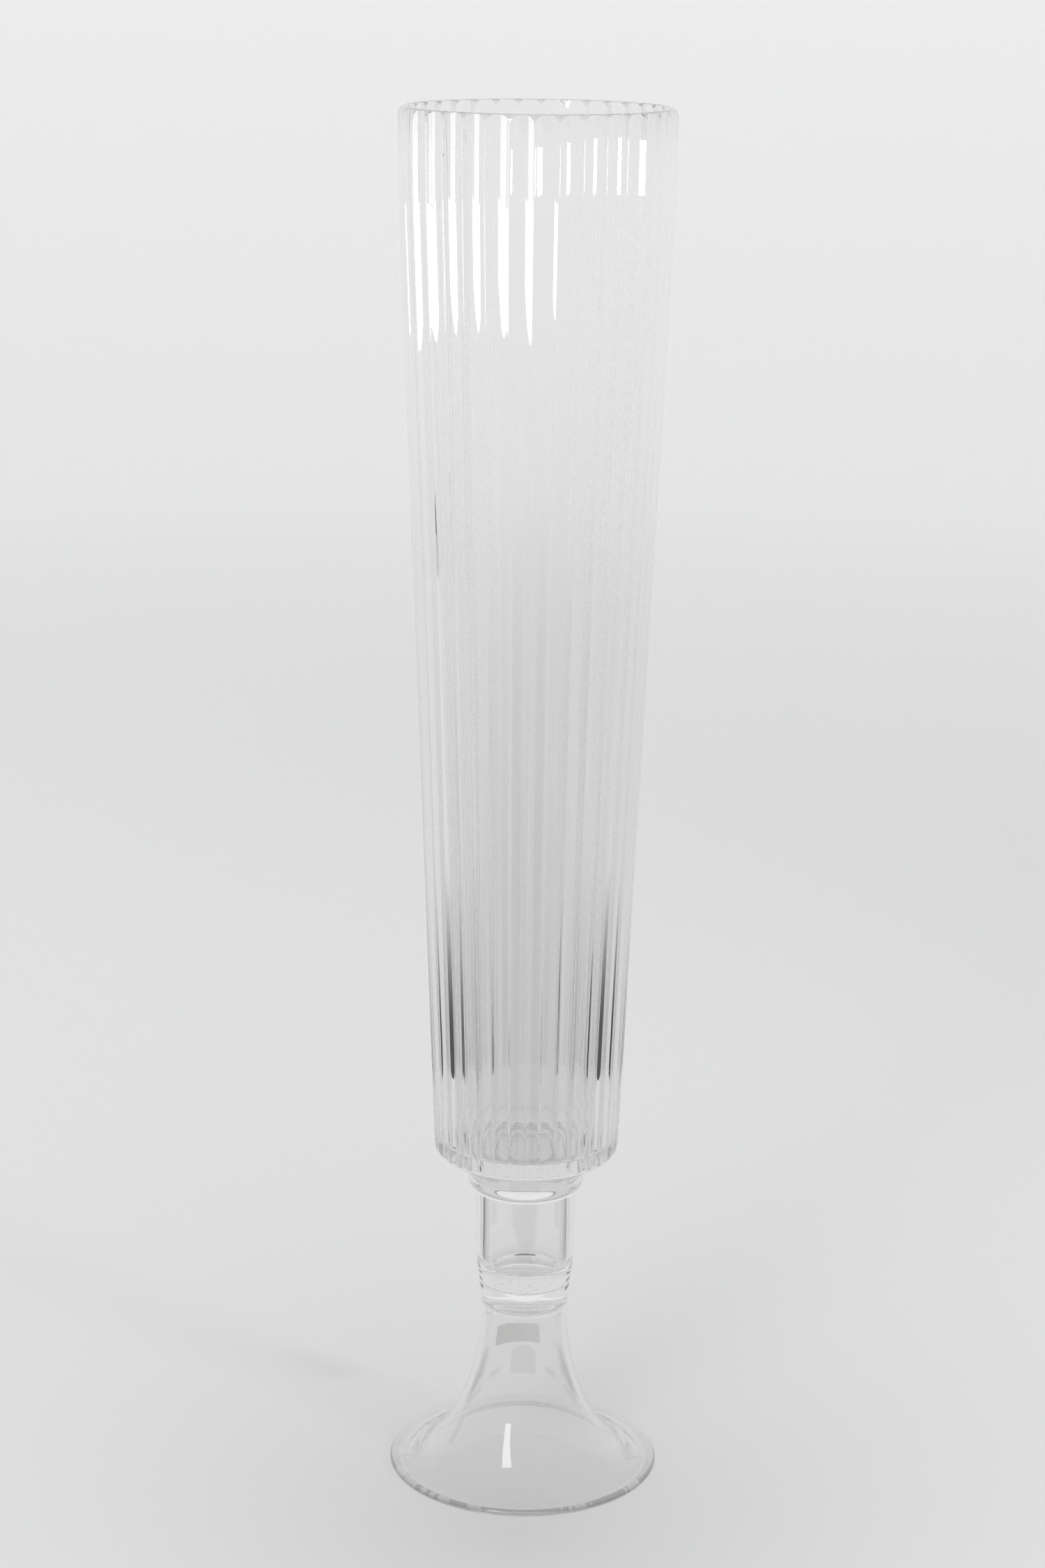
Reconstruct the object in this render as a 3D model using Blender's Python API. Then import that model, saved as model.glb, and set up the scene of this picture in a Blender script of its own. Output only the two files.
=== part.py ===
"""Tall fluted glass vase on a trumpet foot, for a florist's table.

Four glass pieces stand on each other and are held by thin cement films:
trumpet foot, hollow stem cup, solid collar, fluted bowl. A blank paper
label sits on the back of the foot's neck. Nothing on the vase moves.

Metres, +Z up. The origin is the middle of the ring that the vase rests on.
"""
import math

import bmesh
import bpy

# ---- Overall sizes ---------------------------------------------------------
VASE_HEIGHT = 0.800
RIM_RADIUS = 0.0766
FOOT_RADIUS = 0.0797

# ---- Heights of the lower pieces -------------------------------------------
FOOT_HEIGHT = 0.1165
STEM_HEIGHT = 0.0561
COLLAR_HEIGHT = 0.0204

# ---- Softened edges at the joints --------------------------------------------
EDGE_BEVEL = 0.0008

# ---- Cement films between the pieces ---------------------------------------
FILM_THICKNESS = 0.0004
FILM_CLEARANCE = 0.0003
FILM_INSET = 0.0008
JOINT_STEP = FILM_THICKNESS + 2 * FILM_CLEARANCE

# ---- Trumpet foot ----------------------------------------------------------
FOOT_WALL = 0.0031
CROWN_THICKNESS = 0.0095
NECK_RADIUS = 0.02535
NECK_BELOW_CROWN = 0.0175
BRIM_WIDTH = 0.0073
BRIM_TOP = 0.0055
BRIM_EDGE_RADIUS = 0.0020
REST_RING_WIDTH = 0.0038
FLARE_DROP = 0.48
FLARE_REACH = 0.56

# ---- Stem cup --------------------------------------------------------------
STEM_RADIUS = 0.0293
STEM_BASE_RADIUS = 0.0270
STEM_TAPER_HEIGHT = 0.0300
STEM_WALL = 0.0050
STEM_FLOOR = 0.0085
STEM_CORNER_RADIUS = 0.0070

# ---- Collar ----------------------------------------------------------------
COLLAR_RADIUS = 0.0341
COLLAR_TOP_RADIUS = 0.0324
COLLAR_UNDER_HEIGHT = 0.0084

# ---- Fluted bowl -----------------------------------------------------------
BOWL_BASE_RADIUS = 0.0539
BOWL_WALL = 0.0055
BOWL_FLOOR = 0.0100
LIP_HEIGHT = 0.0380
HEEL_RADIUS = 0.0080
BOWL_CORNER_RADIUS = 0.0070
RIM_ROUND_WIDTH = 0.0034
RIM_ROUND_HEIGHT = 0.0056
RIM_INNER_ROUND = 0.0010
FLUTE_COUNT = 36
FLUTE_DEPTH = 0.0022

# ---- Paper label -----------------------------------------------------------
LABEL_WIDTH = 0.0310
LABEL_HEIGHT = 0.0140
LABEL_THICKNESS = 0.0002
LABEL_CLEARANCE = 0.0003
LABEL_BELOW_CROWN = 0.0465
LABEL_ANGLE = math.radians(101.0)

# ---- Fineness of the meshes ------------------------------------------------
TURN_STEPS = 48
FLUTE_STEPS = 4
ROUND_POINTS = 4
FLARE_POINTS = 11
LABEL_COLUMNS = 12
LABEL_ROWS = 3
AXIS_MERGE = 0.00001
SHARP_ANGLE = math.radians(35.0)

# ---- Levels worked out from the sizes above --------------------------------
STEM_BOTTOM = FOOT_HEIGHT + JOINT_STEP
STEM_TOP = STEM_BOTTOM + STEM_HEIGHT
COLLAR_BOTTOM = STEM_TOP + JOINT_STEP
COLLAR_TOP = COLLAR_BOTTOM + COLLAR_HEIGHT
BOWL_BOTTOM = COLLAR_TOP + JOINT_STEP


def clear_scene():
    """Remove whatever the open file holds."""
    for old in list(bpy.data.objects):
        bpy.data.objects.remove(old, do_unlink=True)


def plain_material(name, colour, roughness, transmission=0.0):
    """One Principled finish."""
    material = bpy.data.materials.new(name)
    material.use_nodes = True
    shader = material.node_tree.nodes["Principled BSDF"]
    shader.inputs["Base Color"].default_value = (*colour, 1.0)
    shader.inputs["Roughness"].default_value = roughness
    shader.inputs["Metallic"].default_value = 0.0
    shader.inputs["Transmission Weight"].default_value = transmission
    return material


def bezier(start, lead_out, lead_in, end, count):
    """Points of a cubic curve from start to end, both ends included."""
    points = []
    for step in range(count):
        t = step / (count - 1)
        weights = ((1 - t) ** 3, 3 * t * (1 - t) ** 2, 3 * t * t * (1 - t), t ** 3)
        corners = (start, lead_out, lead_in, end)
        radius = sum(w * c[0] for w, c in zip(weights, corners))
        height = sum(w * c[1] for w, c in zip(weights, corners))
        points.append((radius, height))
    return points


def quarter(centre, width, height, start_deg, end_deg, count=ROUND_POINTS):
    """Points on an ellipse about centre, by angle from +radius towards +height."""
    points = []
    for step in range(count):
        share = step / (count - 1)
        angle = math.radians(start_deg + (end_deg - start_deg) * share)
        radius = centre[0] + width * math.cos(angle)
        level = centre[1] + height * math.sin(angle)
        points.append((radius, level))
    return points


def offset_inward(points, distance):
    """The same curve moved towards the axis side by distance, along its normals."""
    moved = []
    last = len(points) - 1
    for index, (radius, height) in enumerate(points):
        before = points[max(index - 1, 0)]
        after = points[min(index + 1, last)]
        run = after[0] - before[0]
        fall = after[1] - before[1]
        length = math.hypot(run, fall)
        moved.append((radius + distance * fall / length, height - distance * run / length))
    return moved


def add_object(name, mesh, material):
    """Put a mesh into the scene under its node's name."""
    mesh.materials.append(material)
    mesh.shade_smooth()
    item = bpy.data.objects.new(name, mesh)
    bpy.context.scene.collection.objects.link(item)
    return item


def turned_piece(name, outline, material, closed=False):
    """Turn an outline of (radius, height) points round the Z axis.

    The outline runs down the piece's outer side. It starts and ends on the
    axis, or, when closed is set, it is the section of a ring.
    """
    mesh = bpy.data.meshes.new(name)
    points = [(radius, 0.0, height) for radius, height in outline]
    edges = [(index, index + 1) for index in range(len(points) - 1)]
    if closed:
        edges.append((len(points) - 1, 0))
    mesh.from_pydata(points, edges, [])
    item = add_object(name, mesh, material)
    screw = item.modifiers.new("turn", "SCREW")
    screw.axis = "Z"
    screw.angle = math.tau
    screw.steps = TURN_STEPS
    screw.render_steps = TURN_STEPS
    screw.use_merge_vertices = True
    screw.merge_threshold = AXIS_MERGE
    screw.use_smooth_shade = True
    return item


def foot_flare():
    """Outer curve of the foot, from its narrow neck down to the flat brim."""
    neck_height = FOOT_HEIGHT - NECK_BELOW_CROWN
    brim_radius = FOOT_RADIUS - BRIM_WIDTH
    drop = FLARE_DROP * (neck_height - BRIM_TOP)
    reach = FLARE_REACH * (brim_radius - NECK_RADIUS)
    start = (NECK_RADIUS, neck_height)
    lead_out = (NECK_RADIUS, neck_height - drop)
    lead_in = (brim_radius - reach, BRIM_TOP)
    end = (brim_radius, BRIM_TOP)
    return bezier(start, lead_out, lead_in, end, FLARE_POINTS)


def make_foot(glass):
    """Blown trumpet foot: solid crown, thin flared wall, flat resting ring."""
    crown_edge = (STEM_BASE_RADIUS, FOOT_HEIGHT - EDGE_BEVEL)
    neck_height = FOOT_HEIGHT - NECK_BELOW_CROWN
    crown = bezier(
        crown_edge,
        (STEM_BASE_RADIUS, FOOT_HEIGHT - NECK_BELOW_CROWN / 3),
        (NECK_RADIUS, neck_height + NECK_BELOW_CROWN / 2),
        (NECK_RADIUS, neck_height),
        ROUND_POINTS,
    )
    flare = foot_flare()
    inner = offset_inward(flare, FOOT_WALL)
    edge_centre = (FOOT_RADIUS - BRIM_EDGE_RADIUS, BRIM_EDGE_RADIUS)
    edge = quarter(edge_centre, BRIM_EDGE_RADIUS, BRIM_EDGE_RADIUS, 60, -90, ROUND_POINTS + 2)
    ring_inner = edge_centre[0] - REST_RING_WIDTH
    ceiling = FOOT_HEIGHT - CROWN_THICKNESS
    inner_neck = inner[0][0]
    roof = quarter((0.0, neck_height), inner_neck, ceiling - neck_height, 0, 90, ROUND_POINTS + 2)
    outline = [(0.0, FOOT_HEIGHT), (STEM_BASE_RADIUS - EDGE_BEVEL, FOOT_HEIGHT)]
    outline += crown
    outline += flare[1:]
    outline += edge
    outline.append((ring_inner, 0.0))
    outline += list(reversed(inner))
    outline += roof[1:-1]
    outline.append((0.0, ceiling))
    return turned_piece("trumpet_foot", outline, glass)


def make_stem(glass):
    """Blown stem cup: thick floor, open top that the collar closes."""
    inner_radius = STEM_RADIUS - STEM_WALL
    floor = STEM_BOTTOM + STEM_FLOOR
    taper_top = STEM_BOTTOM + STEM_TAPER_HEIGHT
    corner_centre = (inner_radius - STEM_CORNER_RADIUS, floor + STEM_CORNER_RADIUS)
    corner = quarter(corner_centre, STEM_CORNER_RADIUS, STEM_CORNER_RADIUS, -90, 0)
    base = bezier(
        (STEM_RADIUS, taper_top),
        (STEM_RADIUS, taper_top - STEM_TAPER_HEIGHT / 2),
        (STEM_BASE_RADIUS + EDGE_BEVEL, STEM_BOTTOM + STEM_TAPER_HEIGHT / 5),
        (STEM_BASE_RADIUS, STEM_BOTTOM + EDGE_BEVEL),
        ROUND_POINTS + 2,
    )
    outline = [(0.0, floor)]
    outline += corner
    outline.append((inner_radius, STEM_TOP))
    outline.append((STEM_RADIUS, STEM_TOP))
    outline += base
    outline.append((STEM_BASE_RADIUS - EDGE_BEVEL, STEM_BOTTOM))
    outline.append((0.0, STEM_BOTTOM))
    return turned_piece("stem_cup", outline, glass)


def make_collar(glass):
    """Solid glass bead between the stem and the bowl."""
    widest = COLLAR_BOTTOM + COLLAR_UNDER_HEIGHT
    shoulder_lead = (COLLAR_TOP - widest) / 2
    shoulder = bezier(
        (COLLAR_TOP_RADIUS, COLLAR_TOP),
        (COLLAR_RADIUS - EDGE_BEVEL, COLLAR_TOP - EDGE_BEVEL),
        (COLLAR_RADIUS, widest + shoulder_lead),
        (COLLAR_RADIUS, widest),
        ROUND_POINTS + 1,
    )
    under_width = COLLAR_RADIUS - STEM_RADIUS
    under = quarter((STEM_RADIUS, widest), under_width, COLLAR_UNDER_HEIGHT, 0, -90, ROUND_POINTS + 1)
    outline = [(0.0, COLLAR_TOP)]
    outline += shoulder
    outline += under[1:]
    outline.append((0.0, COLLAR_BOTTOM))
    return turned_piece("collar_bead", outline, glass)


def make_film_disc(name, bottom_glass_top, radius, cement):
    """Round cement film that fills a joint between two flat glass faces."""
    low = bottom_glass_top + FILM_CLEARANCE
    high = low + FILM_THICKNESS
    outline = [(0.0, high), (radius, high), (radius, low), (0.0, low)]
    return turned_piece(name, outline, cement)


def make_film_ring(name, bottom_glass_top, inner_radius, outer_radius, cement):
    """Ring of cement on the stem cup's open rim."""
    low = bottom_glass_top + FILM_CLEARANCE
    high = low + FILM_THICKNESS
    outline = [(inner_radius, high), (outer_radius, high), (outer_radius, low), (inner_radius, low)]
    return turned_piece(name, outline, cement, closed=True)


def channel_radius(ridge_radius, share):
    """Radius inside one flute; share runs from 0 at a ridge to 1 at the next.

    The channel is a round hollow: deepest half way, no depth at its ridges.
    """
    across = 2.0 * share - 1.0
    depth = FLUTE_DEPTH * ridge_radius / RIM_RADIUS
    return ridge_radius - depth * (1.0 - across * across)


def bowl_levels():
    """(radius, ridge radius or None, height) from the inner floor up and over the rim.

    Where a ridge radius is given, the flutes cut the level back to their channels.
    """
    inner_rim = RIM_RADIUS - BOWL_WALL
    inner_base = BOWL_BASE_RADIUS - BOWL_WALL
    floor = BOWL_BOTTOM + BOWL_FLOOR
    lip_bottom = VASE_HEIGHT - LIP_HEIGHT
    heel_top = BOWL_BOTTOM + HEEL_RADIUS
    corner_centre = (inner_base - BOWL_CORNER_RADIUS, floor + BOWL_CORNER_RADIUS)
    levels = []
    for radius, height in quarter(corner_centre, BOWL_CORNER_RADIUS, BOWL_CORNER_RADIUS, -90, 0):
        levels.append((radius, None, height))
    levels.append((inner_rim, None, lip_bottom))
    rim_in = (inner_rim + RIM_INNER_ROUND, VASE_HEIGHT - RIM_INNER_ROUND)
    for radius, height in quarter(rim_in, RIM_INNER_ROUND, RIM_INNER_ROUND, 180, 90, 3):
        levels.append((radius, None, height))
    rim_out = (RIM_RADIUS - RIM_ROUND_WIDTH, VASE_HEIGHT - RIM_ROUND_HEIGHT)
    for radius, height in quarter(rim_out, RIM_ROUND_WIDTH, RIM_ROUND_HEIGHT, 90, 0, ROUND_POINTS + 1):
        levels.append((radius, RIM_RADIUS, height))
    levels.append((RIM_RADIUS, RIM_RADIUS, lip_bottom))
    heel_centre = (BOWL_BASE_RADIUS - HEEL_RADIUS, heel_top)
    for radius, height in quarter(heel_centre, HEEL_RADIUS, HEEL_RADIUS, 0, -90, ROUND_POINTS + 1):
        levels.append((radius, BOWL_BASE_RADIUS, height))
    return levels


def make_bowl(glass):
    """Mould-blown bowl: smooth inside, upright flutes outside, rounded rim and heel."""
    bm = bmesh.new()
    sides = FLUTE_COUNT * FLUTE_STEPS
    first_ridge = -math.pi / 2
    rings = []
    for radius, ridge_radius, height in bowl_levels():
        ring = []
        for side in range(sides):
            angle = first_ridge + math.tau * side / sides
            reach = radius
            if ridge_radius is not None:
                share = (side % FLUTE_STEPS) / FLUTE_STEPS
                reach = min(radius, channel_radius(ridge_radius, share))
            ring.append(bm.verts.new((reach * math.cos(angle), reach * math.sin(angle), height)))
        rings.append(ring)
    for lower, upper in zip(rings, rings[1:]):
        for side in range(sides):
            after = (side + 1) % sides
            bm.faces.new((lower[side], upper[side], upper[after], lower[after]))
    floor_centre = bm.verts.new((0.0, 0.0, BOWL_BOTTOM + BOWL_FLOOR))
    base_centre = bm.verts.new((0.0, 0.0, BOWL_BOTTOM))
    for side in range(sides):
        after = (side + 1) % sides
        bm.faces.new((floor_centre, rings[0][side], rings[0][after]))
        bm.faces.new((base_centre, rings[-1][after], rings[-1][side]))
    bmesh.ops.recalc_face_normals(bm, faces=bm.faces)
    mesh = bpy.data.meshes.new("fluted_bowl")
    bm.to_mesh(mesh)
    bm.free()
    item = add_object("fluted_bowl", mesh, glass)
    mesh.set_sharp_from_angle(angle=SHARP_ANGLE)
    return item


def flare_radius_at(height):
    """Outer radius of the foot's neck and flare at a height."""
    curve = foot_flare()
    for upper, lower in zip(curve, curve[1:]):
        if lower[1] <= height <= upper[1]:
            share = (upper[1] - height) / (upper[1] - lower[1])
            return upper[0] + share * (lower[0] - upper[0])
    return curve[0][0]


def make_label(paper):
    """Blank paper label, bent round the back of the neck."""
    mesh = bpy.data.meshes.new("paper_label")
    middle_height = FOOT_HEIGHT - LABEL_BELOW_CROWN
    middle_radius = flare_radius_at(middle_height)
    facet_sag = 1.0 / math.cos(math.pi / TURN_STEPS)
    half_angle = LABEL_WIDTH / 2 / middle_radius
    points = []
    for row in range(LABEL_ROWS + 1):
        height = middle_height + LABEL_HEIGHT * (row / LABEL_ROWS - 0.5)
        radius = flare_radius_at(height) * facet_sag + LABEL_CLEARANCE
        for column in range(LABEL_COLUMNS + 1):
            angle = LABEL_ANGLE + half_angle * (2 * column / LABEL_COLUMNS - 1)
            points.append((radius * math.cos(angle), radius * math.sin(angle), height))
    faces = []
    stride = LABEL_COLUMNS + 1
    for row in range(LABEL_ROWS):
        for column in range(LABEL_COLUMNS):
            corner = row * stride + column
            faces.append((corner, corner + 1, corner + stride + 1, corner + stride))
    mesh.from_pydata(points, [], faces)
    item = add_object("paper_label", mesh, paper)
    solidify = item.modifiers.new("thickness", "SOLIDIFY")
    solidify.thickness = LABEL_THICKNESS
    solidify.offset = 1.0
    return item


def build_vase():
    """Make every piece of the vase, from the table up."""
    clear_scene()
    foot_glass = plain_material("foot glass", (0.86, 0.88, 0.88), 0.03, 1.0)
    stem_glass = plain_material("stem glass", (0.84, 0.87, 0.87), 0.03, 1.0)
    collar_glass = plain_material("collar glass", (0.82, 0.86, 0.86), 0.03, 1.0)
    bowl_glass = plain_material("bowl glass", (0.88, 0.90, 0.90), 0.04, 1.0)
    cement = plain_material("clear cement", (0.90, 0.90, 0.87), 0.20, 1.0)
    paper = plain_material("label paper", (0.78, 0.78, 0.76), 0.75)
    make_foot(foot_glass)
    make_film_disc("cement_foot_stem", FOOT_HEIGHT, STEM_BASE_RADIUS - FILM_INSET, cement)
    make_stem(stem_glass)
    film_inner = STEM_RADIUS - STEM_WALL + FILM_INSET
    film_outer = STEM_RADIUS - FILM_INSET
    make_film_ring("cement_stem_collar", STEM_TOP, film_inner, film_outer, cement)
    make_collar(collar_glass)
    make_film_disc("cement_collar_bowl", COLLAR_TOP, COLLAR_TOP_RADIUS - FILM_INSET, cement)
    make_bowl(bowl_glass)
    make_label(paper)


build_vase()
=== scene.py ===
# %% [markdown]
# # A tall fluted glass vase
#
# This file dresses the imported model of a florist's vase: a long, tapered bowl
# with upright flutes, a round collar, a hollow stem cup and a blown trumpet
# foot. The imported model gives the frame, in metres, and is never moved. Each
# of its pieces is stood for by a finer surface with the same place and size.

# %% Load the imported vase
import math

import bpy
import numpy as np
from mathutils import Matrix, Vector


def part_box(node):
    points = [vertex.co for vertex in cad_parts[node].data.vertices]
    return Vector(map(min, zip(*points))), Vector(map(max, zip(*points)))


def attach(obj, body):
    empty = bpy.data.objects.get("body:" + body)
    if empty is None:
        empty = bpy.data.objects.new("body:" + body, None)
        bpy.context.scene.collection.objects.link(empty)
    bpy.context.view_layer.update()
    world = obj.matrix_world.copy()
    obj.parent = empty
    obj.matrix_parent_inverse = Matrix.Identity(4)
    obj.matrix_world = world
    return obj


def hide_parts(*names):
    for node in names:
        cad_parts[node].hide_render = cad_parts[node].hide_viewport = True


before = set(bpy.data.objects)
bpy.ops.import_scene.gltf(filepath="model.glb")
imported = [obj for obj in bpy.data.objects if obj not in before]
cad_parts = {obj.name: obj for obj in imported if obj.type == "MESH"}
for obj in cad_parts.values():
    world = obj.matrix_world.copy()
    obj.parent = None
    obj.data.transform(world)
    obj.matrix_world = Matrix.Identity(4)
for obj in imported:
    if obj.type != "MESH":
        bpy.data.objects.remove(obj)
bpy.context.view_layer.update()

# %% [markdown]
# ## The camera
#
# A vase this tall looks best from a little above its rim through a long
# lens, which keeps its sides nearly straight. The camera looks down by about
# fifteen degrees. It stands a touch to the right of the ridge that faces the
# front, and leans by less than a degree, as a hand-set tripod does.

# %% The camera
LENS_MM = 76.9
CAMERA_DISTANCE = 1.852
CAMERA_HEIGHT = 0.906
CAMERA_SIDE = -0.0045
CAMERA_PITCH = math.radians(14.72)
CAMERA_ROLL = math.radians(0.642)
CAMERA_TURN = math.radians(1.4)

camera_data = bpy.data.cameras.new("tripod camera")
camera_data.lens = LENS_MM
camera_data.sensor_width = 36.0
camera_data.dof.use_dof = False
camera = bpy.data.objects.new("tripod camera", camera_data)
bpy.context.scene.collection.objects.link(camera)
camera.matrix_world = (
    Matrix.Rotation(CAMERA_TURN, 4, "Z")
    @ Matrix.Translation((CAMERA_SIDE, -CAMERA_DISTANCE, CAMERA_HEIGHT))
    @ Matrix.Rotation(math.pi / 2 - CAMERA_PITCH, 4, "X")
    @ Matrix.Rotation(CAMERA_ROLL, 4, "Z")
)
bpy.context.scene.camera = camera
print("camera at", [round(value, 3) for value in camera.matrix_world.translation])

# %% [markdown]
# ## Turned surfaces
#
# Blown and pressed glass is round, so every glass piece here is one outline
# carried round the upright axis. The outline starts on the axis, passes over the
# whole piece and comes back to the axis. Working it out as a table of radius and
# height, one row for each outline point and one column for each direction,
# lets the radius change with direction too, which is how the flutes are made.
# Edges that turn by more than SHARP_FROM stay crisp; the rest shade smoothly.

# %% A mesh from a table of radii and heights
SHARP_FROM = math.radians(32)


def turned_mesh(name, radius, height, angle, first_pole, last_pole):
    """A closed surface whose point at (row, column) is
    x = radius cos(angle), y = radius sin(angle), z = height.

    The first and last rows are closed with fans to points on the axis, or,
    when both poles are None, joined to each other as the skin of a ring.
    """
    rows, columns = radius.shape
    x = radius * np.cos(angle)
    y = radius * np.sin(angle)
    points = np.stack([x, y, height], axis=-1).reshape(-1, 3)
    row_end = rows - 1 if first_pole is not None else rows
    row = np.arange(row_end)[:, None]
    column = np.arange(columns)[None, :]
    after = (column + 1) % columns
    below = (row + 1) % rows
    corners = (
        row * columns + column,
        below * columns + column,
        below * columns + after,
        row * columns + after,
    )
    quads = np.stack(corners, axis=-1).reshape(-1, 4).tolist()
    fans = []
    if first_pole is not None:
        points = np.vstack([points, [[0, 0, first_pole]], [[0, 0, last_pole]]])
        start = np.arange(columns)
        turn = (start + 1) % columns
        top = np.full(columns, rows * columns)
        foot = (rows - 1) * columns
        fans = np.stack([top, start, turn], axis=-1).tolist()
        fans += np.stack([top + 1, foot + turn, foot + start], axis=-1).tolist()
    mesh = bpy.data.meshes.new(name)
    mesh.from_pydata(points.tolist(), [], quads + fans)
    mesh.shade_smooth()
    mesh.set_sharp_from_angle(angle=SHARP_FROM)
    return mesh


def plain_columns(count):
    """Directions of an even turn, as one row of angles."""
    return np.arange(count)[None, :] * math.tau / count


def joined(*stretches):
    """Outline stretches, each an array of (radius, height) points, end to end."""
    return np.vstack([np.asarray(stretch, float) for stretch in stretches])


def straight(start, end, count):
    """Points on a line, without its first point."""
    share = np.linspace(0.0, 1.0, count + 1)[1:, None]
    return np.asarray(start, float) * (1 - share) + np.asarray(end, float) * share


def arc(centre, width, height, start_deg, end_deg, count):
    """Points on an ellipse: centre + (width cos t, height sin t)."""
    t = np.radians(np.linspace(start_deg, end_deg, count))
    return np.stack([centre[0] + width * np.cos(t), centre[1] + height * np.sin(t)], axis=-1)


def cubic(start, lead_out, lead_in, end, count):
    """Points on a cubic Bezier curve, both ends included."""
    t = np.linspace(0.0, 1.0, count)[:, None]
    terms = ((1 - t) ** 3, 3 * t * (1 - t) ** 2, 3 * t * t * (1 - t), t**3)
    ends = (start, lead_out, lead_in, end)
    return sum(term * np.asarray(point, float) for term, point in zip(terms, ends))


print("helpers for turned surfaces are ready")

# %% [markdown]
# ## Hand-blown unevenness
#
# Glass that was blown and cooled in the open is never perfectly round: its
# wall swells and thins slowly by a tenth of a millimetre or two. A sum of a
# few slow waves round and up the piece gives that, with the same waves on
# every run because the random numbers are seeded.

# %% Slow waves on a blown wall
def slow_waves(angle, height, depth, seed, shortest=0.05, longest=0.30, count=7):
    """depth * mean of sin(n angle + a) * sin(tau height / wavelength + b)."""
    rng = np.random.default_rng(seed)
    total = np.zeros(np.broadcast(angle, height).shape)
    for _ in range(count):
        turns = rng.integers(1, 6)
        wavelength = rng.uniform(shortest, longest)
        phase_round, phase_up = rng.uniform(0.0, math.tau, 2)
        wave = np.sin(turns * angle + phase_round)
        total += wave * np.sin(math.tau * height / wavelength + phase_up)
    return depth * total / math.sqrt(count)


print("slow waves, deepest of a sample:", round(float(slow_waves(
    plain_columns(60), np.linspace(0, 0.6, 50)[:, None], 0.0001, 3).max()) * 1000, 3), "mm")

# %% [markdown]
# ## The joints
#
# The four glass pieces are cemented face to face. The cement has nearly the
# same refractive index as glass, so light crosses a good joint as if it were
# not there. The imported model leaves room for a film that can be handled; here
# each glass face comes up to the middle of that room and leaves a film a tenth
# of a millimetre thick, as glass cement really is.

# %% Heights of the joints
FILM_HALF = 0.00005
FILM_GAP = 0.00004


def joint_middle(film):
    """The middle height of a cement film."""
    low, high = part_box(film)
    return (low.z + high.z) / 2


JOINT_FOOT = joint_middle("cement_foot_stem")
JOINT_STEM = joint_middle("cement_stem_collar")
JOINT_BOWL = joint_middle("cement_collar_bowl")
FACE_OFF = FILM_HALF + FILM_GAP
print("joints at", [round(z * 1000, 2) for z in (JOINT_FOOT, JOINT_STEM, JOINT_BOWL)], "mm")

# %% [markdown]
# ## The fluted bowl
#
# The bowl is blown into a ribbed mould: outside it carries thirty-six upright
# channels that meet in crisp ridges, inside it is almost smooth. The rim is
# cut and fire-polished, so its rounded edge slices the ridges into a row of
# small arches, and the rounded heel does the same below. Each outline row
# follows the channels, and the rows bunch up exactly where rim and heel cut
# them, so that those creases stay crisp.

# %% Sizes of the bowl
bowl_low, bowl_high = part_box("fluted_bowl")
VASE_TOP = bowl_high.z
RIM_RADIUS = 0.0766
BASE_RADIUS = 0.0539
BOWL_WALL = 0.0055
BOWL_FLOOR = 0.0100
LIP_HEIGHT = 0.0380
LIP_BEND = 0.0060
HEEL_RADIUS = 0.0080
CORNER_RADIUS = 0.0035
RIM_ROUND_WIDTH = 0.0034
RIM_ROUND_HEIGHT = 0.0056
RIM_INNER_ROUND = 0.0010
FLUTES = 36
FLUTE_DEPTH = 0.0022
BASE_DEPTH_SHARE = 0.65
RIDGE_ROUND = 0.14
INNER_IMPRINT = 0.00045
BOWL_UNEVEN = 0.00006

BOWL_BOTTOM = JOINT_BOWL + FACE_OFF
BOWL_INNER_FLOOR = bowl_low.z + BOWL_FLOOR
HEEL_TOP = bowl_low.z + HEEL_RADIUS
LIP_BOTTOM = VASE_TOP - LIP_HEIGHT
TAPER = (RIM_RADIUS - BASE_RADIUS) / (LIP_BOTTOM - HEEL_TOP)


def ridge_circle(height):
    """Radius over the ridges: straight taper that bends softly into the upright lip.

    The bend is log(1 + exp(x)), which is zero well above the lip's lower edge
    and follows x well below it.
    """
    below = (LIP_BOTTOM - height) / LIP_BEND
    return RIM_RADIUS - TAPER * LIP_BEND * np.logaddexp(0.0, below)


def channel_depth(across):
    """0 on a ridge and 1 in mid-channel: the parabola h = 1 - across^2, with its meeting at
    the ridge rounded by sqrt(h^2 + e^2) - e, which is flat where h is 0."""
    hollow = 1.0 - across**2
    rounded = np.sqrt(hollow**2 + RIDGE_ROUND**2) - RIDGE_ROUND
    return rounded / (math.sqrt(1.0 + RIDGE_ROUND**2) - RIDGE_ROUND)


# Places across one channel, from a ridge at -1 to just before the next at 1,
# crowded near the ridges because the surface turns fastest there.
RIDGE_STEPS = np.array([0.0, 0.021, 0.045, 0.075, 0.12, 0.195, 0.31, 0.48, 0.66, 0.83])
CHANNEL_PLACES = np.concatenate([RIDGE_STEPS - 1.0, [0.0], 1.0 - RIDGE_STEPS[:0:-1]])
print("bowl tapers by", round(math.degrees(math.atan(TAPER)), 2), "degrees,",
      len(CHANNEL_PLACES), "columns to a channel")

# %% [markdown]
# The bowl is one table of rows. It starts at the inner floor, climbs the inner
# wall, passes over the rim, follows the channels down the outside, rounds the
# heel and ends under the base. Inside, a real mould-blown wall keeps only a
# faint print of the channels, because the hot glass evens itself out.

# %% The bowl's columns and its inner wall
across = np.tile(CHANNEL_PLACES, FLUTES)[None, :]
flute_number = np.repeat(np.arange(FLUTES), len(CHANNEL_PLACES))[None, :]
bowl_angle = -math.pi / 2 + (flute_number + (across + 1.0) / 2) * math.tau / FLUTES
hollow = channel_depth(across)
level = np.ones_like(bowl_angle)


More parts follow.
